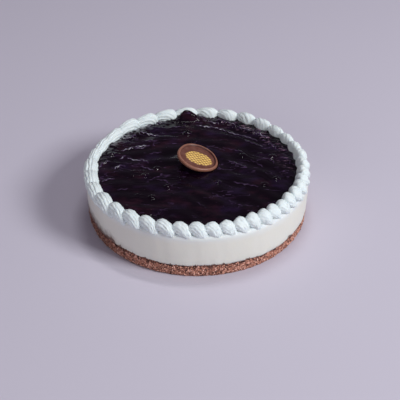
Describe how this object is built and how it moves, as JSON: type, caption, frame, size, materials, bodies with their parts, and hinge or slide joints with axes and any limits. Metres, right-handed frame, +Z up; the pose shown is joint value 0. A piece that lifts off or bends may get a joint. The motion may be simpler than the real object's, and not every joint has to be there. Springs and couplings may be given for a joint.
{
  "type": "cheesecake",
  "caption": "Round chilled cheesecake with a crumb base, dark jam topping, a piped cream shell border and a small chocolate medallion.",
  "frame": {"origin": "centre of the underside of the crumb base, on the surface the cake rests on", "axes": "+Z up through the layers, -Y towards the front of the cake, +X to the right seen from the front"},
  "size_m": [0.2446, 0.2398, 0.0688],
  "materials": {
    "crumb": "coarse baked biscuit crumb, matt",
    "cheese": "smooth set cream cheese, satin",
    "jam": "wet glossy dark fruit jam",
    "cream": "soft whipped cream, satin",
    "chocolate": "cast milk chocolate, semi-matt, with gold dust on the raised panel"
  },
  "bodies": {
    "root": {"crumb_base": "crumb", "cheese_layer": "cheese", "jam_topping": "jam", "cream_border": "cream", "chocolate_medallion": "chocolate"}
  },
  "joints": []
}
